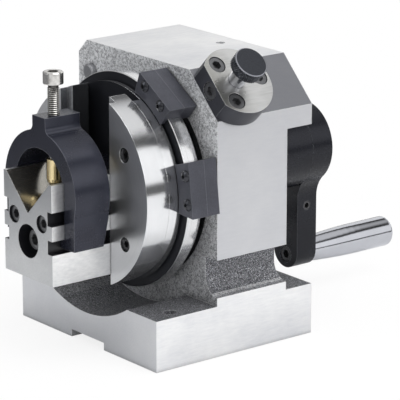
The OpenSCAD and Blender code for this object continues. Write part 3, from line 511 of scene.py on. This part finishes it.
# Bright metal: chrome, nickel, brass or spring wire by its colour.
def chrome_material(name, color, rough):
    t = Tree(name)
    fine = t.noise(1200.0, 2.0, 0.5, t.stretched(1.0, 0.08, 1.0))
    c = t.shades(t.noise(90.0, 3.0, 0.5), rgb(*[k * 0.93 for k in color]), rgb(*color))
    gloss = t.ramp(fine, 0.3, 0.7, rough * 0.8, rough * 1.3)
    return t.out(c, gloss, 1.0, t.bump(fine, 0.3, 0.000002, t.rounded(0.0004)))


def ground_steel(name, **extra):
    return round_steel_material(name, rgb(0.60, 0.61, 0.63), rgb(0.84, 0.845, 0.855), 0.13, **extra)


mats = {
    "housing": housing_material(),
    "side": vee_material(),
    "plate": plate_material(),
    "rail": ground_steel("ground_rail", slot_c=rgb(0.30, 0.31, 0.33)),
    "disc": ground_steel("ground_disc", black_half=slot_half, black_y=ring_y - 0.0001),
    "ring": round_steel_material("ground_ring", rgb(0.56, 0.57, 0.58), rgb(0.82, 0.82, 0.83), 0.15,
                                 black_half=1.0, black_y=ring_y + tol / 2),
    "round": round_steel_material("turned_steel", rgb(0.45, 0.455, 0.46), rgb(0.70, 0.70, 0.70), 0.24),
    "pin": round_steel_material("stop_pin", rgb(0.26, 0.265, 0.28), rgb(0.42, 0.425, 0.44), 0.42),
    # The black parts keep the light edge_c: a painted highlight along their edges.
    "black": black_material("black_oxide", rgb(0.006, 0.0065, 0.010), rgb(0.014, 0.015, 0.021), 0.27,
                            spec=0.32),
    "yoke": black_material("black_yoke", rgb(0.015, 0.016, 0.026), rgb(0.030, 0.033, 0.050), 0.25,
                           edge_c=rgb(0.34, 0.35, 0.39), edge_f=0.6, metal=0.42),
    "stop": black_material("black_stop", rgb(0.034, 0.035, 0.046), rgb(0.085, 0.088, 0.108), 0.38),
    # Dark edge_c for the screws and washer: painted shade round their rims.
    "screw": black_material("screw_black", rgb(0.095, 0.097, 0.103), rgb(0.20, 0.202, 0.21), 0.30,
                            edge_c=rgb(0.012, 0.012, 0.014), edge_f=0.95, metal=0.75, edge_w=0.0006),
    "pit": black_material("rail_screw_black", rgb(0.012, 0.012, 0.014), rgb(0.10, 0.10, 0.105), 0.24,
                          edge_c=rgb(0.02, 0.02, 0.022), edge_f=0.8, metal=0.7),
    "button": black_material("stop_screw", rgb(0.020, 0.021, 0.026), rgb(0.055, 0.057, 0.066), 0.20,
                             edge_c=rgb(0.012, 0.012, 0.015), edge_f=0.6, metal=0.55),
    "knob": knob_material(),
    "chrome": chrome_material("bright_chrome", (0.52, 0.53, 0.57), 0.10),
    "thread": thread_material(),
    "brass": chrome_material("tip_brass", (0.80, 0.66, 0.38), 0.20),
    "spring": chrome_material("spring_wire", (0.45, 0.45, 0.46), 0.25),
}

use = {
    "housing": ["housing"],
    "side": ["vee_block"],
    "plate": ["plunger_block"],
    "rail": ["slide_rail_left", "slide_rail_right"],
    "disc": ["spindle"],
    "ring": ["stop_ring"],
    "round": ["front_bearing", "rear_bearing", "index_drum", "spacer_sleeve", "plunger_bush"],
    "pin": ["fixed_stop_pin"],
    "black": ["rear_cover", "rear_collar", "crank_arm", "t_slide"],
    "yoke": ["clamp_yoke"],
    "stop": ["upper_stop_jaw", "upper_stop_back", "lower_stop_jaw", "lower_stop_back"],
    "screw": ["rear_cover_screws", "drum_key", "lock_nut", "vee_block_screws", "slide_clamp_screw",
              "plunger_block_screws", "plunger_side_screw"],
    "pit": ["rail_screws", "collar_set_screw", "crank_washer", "crank_screw", "arm_set_screw",
            "handle_screw"],
    "button": ["upper_stop_screws", "lower_stop_screws"],
    "knob": ["plunger_knob"],
    "chrome": ["handle_grip", "plunger_pin"],
    "thread": ["clamp_screw"],
    "brass": ["clamp_tip"],
    "spring": ["plunger_spring"],
}
for key, names in use.items():
    for name in names:
        nodes[name].data.materials.clear()
        nodes[name].data.materials.append(mats[key])


# The knob's grip: a fine diamond knurl under a plain top, in place of the coarse ribs.
def knob_mesh():
    stem_r, stem_in, gap, bite = 0.0042, 0.0050, 0.0010, 0.00055
    around, rows = 84, 9
    knurl_h = knob_h - 0.0017
    verts, faces = [], []

    # A ring of points. Where cut is given, every other one lies deeper.
    def ring(r, h, odd=0, cut=0.0):
        first = len(verts)
        for k in range(around):
            a = 2.0 * math.pi * k / around
            d = cut if (k + odd) % 2 else 0.0
            verts.append(((r - d) * math.cos(a), (r - d) * math.sin(a), h))
        return first

    def join(lower, upper):
        for k in range(around):
            q = (k + 1) % around
            faces.append((lower + k, lower + q, upper + q, upper + k))

    def close(first):
        faces.append(tuple(range(first, first + around)))

    # Rows of the knurl, its high and low points in turn, with the low ones joined to each other.
    starts = [ring(knob_r, gap + knurl_h * j / (rows - 1), j % 2, bite) for j in range(rows)]
    for j in range(rows - 1):
        for k in range(around):
            q = (k + 1) % around
            a, b, c, d = starts[j] + k, starts[j] + q, starts[j + 1] + q, starts[j + 1] + k
            if (k + j) % 2:
                faces.extend([(a, b, c), (a, c, d)])
            else:
                faces.extend([(a, b, d), (b, c, d)])

    # Underside, with the hollow round the stem.
    low = ring(knob_r - 0.0012, 0.0)
    inner = ring(stem_r, 0.0)
    seat = ring(stem_r, gap)
    neck = ring(stem_r - 0.0010, gap)
    deep = ring(stem_r - 0.0010, stem_in)
    join(low, starts[0])
    join(inner, low)
    join(seat, inner)
    join(neck, seat)
    join(deep, neck)
    close(deep)

    # Plain rim and top.
    rim = ring(knob_r - 0.0003, knob_h - knob_bevel)
    crown = ring(knob_r - 0.0007, knob_h)
    join(starts[-1], rim)
    join(rim, crown)
    close(crown)

    me = bpy.data.meshes.new("knob_grip")
    me.from_pydata(verts, [], faces)
    me.validate()
    turn = Matrix.Rotation(math.radians(45.0), 4, "Y")
    lift = Matrix.Translation((0.0, 0.0, knob_from))
    me.transform(Matrix.Translation((0.0, plunger_y, axis_z)) @ turn @ lift)
    me.update()
    return me


knob = bpy.data.objects.new("knob_grip", knob_mesh())
bpy.context.scene.collection.objects.link(knob)
knob.data.materials.append(mats["knob"])
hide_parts("plunger_knob")
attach(knob, "plunger")


# Floor: white to the camera away from the object. To other rays it is dimmer near the object and to
# the front left, so that the lower faces and the left-hand rail mirror less light.
def floor_material():
    t = Tree("floor_white")
    t.bsdf.inputs["Specular IOR Level"].default_value = 0.1
    path = t.add_node("LightPath")
    seen = path.outputs["Is Camera Ray"]
    away = t.add_node("VectorMath")
    away.operation = "DISTANCE"
    t.link(t.pos, away.inputs[0])
    away.inputs[1].default_value = (0.0, 0.06, 0.0)
    far = away.outputs["Value"]
    white = t.shades(t.noise(3.0), rgb(0.93, 0.93, 0.93), rgb(0.95, 0.95, 0.95))
    x, y, _ = t.xyz()
    front_left = t.sub(t.mul(x, -0.78), t.mul(y, 0.62))
    near_dim = t.ramp(far, 0.07, 0.11, 0.30, 0.0)
    left_dim = t.ramp(front_left, 0.24, 0.34, 0.0, 0.85)
    dim = t.mul(t.sub(1.0, seen), t.op("MAXIMUM", near_dim, left_dim))
    t.out(t.mix(dim, white, rgb(0.10, 0.10, 0.11)), 0.6, 0.0)
    glow = t.add_node("Emission")
    glow.inputs["Color"].default_value = rgb(1.0, 1.0, 1.0)
    glow.inputs["Strength"].default_value = 1.0
    blend = t.add_node("MixShader")
    t.link(t.mul(seen, t.ramp(far, 0.05, 0.17, 0.80, 1.0)), blend.inputs[0])
    t.link(t.bsdf.outputs[0], blend.inputs[1])
    t.link(glow.outputs[0], blend.inputs[2])
    t.link(blend.outputs[0], t.nt.nodes["Material Output"].inputs["Surface"])
    return t.mat


half, floor_z = 0.8, -0.0002
corners = [(-half, -half), (half, -half), (half, half), (-half, half)]
mesh = bpy.data.meshes.new("floor")
mesh.from_pydata([(x, y, floor_z) for x, y in corners], [], [(0, 1, 2, 3)])
floor = bpy.data.objects.new("floor", mesh)
bpy.context.scene.collection.objects.link(floor)
mesh.materials.append(floor_material())


def lamp(name, place, sx, sy, watts, color=(1.0, 1.0, 1.0)):
    d = bpy.data.lights.new(name, "AREA")
    d.shape = "RECTANGLE"
    d.size = sx
    d.size_y = sy
    d.energy = watts
    d.color = color
    o = bpy.data.objects.new(name, d)
    bpy.context.scene.collection.objects.link(o)
    o.location = place
    o.rotation_mode = "QUATERNION"
    target = Vector((0.0, 0.05, axis_z))
    o.rotation_quaternion = (target - Vector(place)).to_track_quat("-Z", "Y")


lamp("key_top", (0.45, 0.25, 1.35), 0.9, 0.7, 7.0)
lamp("front_left", (-0.7, -1.2, 0.85), 0.8, 0.8, 5.5, (0.94, 0.965, 1.0))
lamp("right_side", (1.5, 0.35, 0.75), 0.9, 0.7, 6.0)


# The studio: bright cloths above the table's edge, a dark gap over them and a bright ceiling.
# To the camera it is plain white.
def studio():
    world = bpy.data.worlds.new("studio")
    world.use_nodes = True
    tree = world.node_tree
    back = tree.nodes["Background"]

    def op(kind, a, b):
        n = tree.nodes.new("ShaderNodeMath")
        n.operation = kind
        for k, v in enumerate((a, b)):
            if hasattr(v, "is_output"):
                tree.links.new(v, n.inputs[k])
            else:
                n.inputs[k].default_value = v
        return n.outputs[0]

    def soft(value, lo, hi, a, b):
        n = tree.nodes.new("ShaderNodeMapRange")
        n.interpolation_type = "SMOOTHSTEP"
        tree.links.new(value, n.inputs["Value"])
        n.inputs["From Min"].default_value = lo
        n.inputs["From Max"].default_value = hi
        n.inputs["To Min"].default_value = a
        n.inputs["To Max"].default_value = b
        return n.outputs["Result"]

    coord = tree.nodes.new("ShaderNodeTexCoord")
    split = tree.nodes.new("ShaderNodeSeparateXYZ")
    tree.links.new(coord.outputs["Generated"], split.inputs[0])
    x, y, z = split.outputs
    side = op("ADD", op("MULTIPLY", x, 0.783), op("MULTIPLY", y, 0.622))
    cloth = op("MULTIPLY", soft(z, 0.06, 0.11, 0.0, 1.0), soft(z, 0.58, 0.64, 1.0, 0.0))
    level = soft(side, -0.7, 0.1, 0.35, 1.15)
    ceiling = soft(z, 0.69, 0.80, 0.0, 0.80)
    room = 0.05
    light = op("ADD", op("ADD", op("MULTIPLY", cloth, level), ceiling), room)
    path = tree.nodes.new("ShaderNodeLightPath")
    mix = tree.nodes.new("ShaderNodeMix")
    mix.data_type = "RGBA"
    tree.links.new(path.outputs["Is Camera Ray"], mix.inputs[0])
    tree.links.new(light, mix.inputs[6])
    mix.inputs[7].default_value = rgb(1.0, 1.0, 1.0)
    tree.links.new(mix.outputs[2], back.inputs["Color"])
    back.inputs["Strength"].default_value = 1.0
    return world


bpy.context.scene.world = studio()

# Camera, in the place from which the photo was taken.
cam = bpy.data.cameras.new("camera")
cam.lens = 238.39
cam.sensor_width = 36.0
cam.clip_start = 0.05
cam.clip_end = 20.0
camera = bpy.data.objects.new("camera", cam)
bpy.context.scene.collection.objects.link(camera)
right = Vector((0.6216, 0.7833, 0.0)).normalized()
back = Vector((0.7529, -0.5975, 0.2760)).normalized()
up = back.cross(right).normalized()
place = Matrix((right, up, back)).transposed().to_4x4()
place.translation = Vector((1.00931, -0.72824, 0.43031))
camera.matrix_world = place
bpy.context.scene.camera = camera
bpy.context.scene.view_settings.view_transform = "Standard"
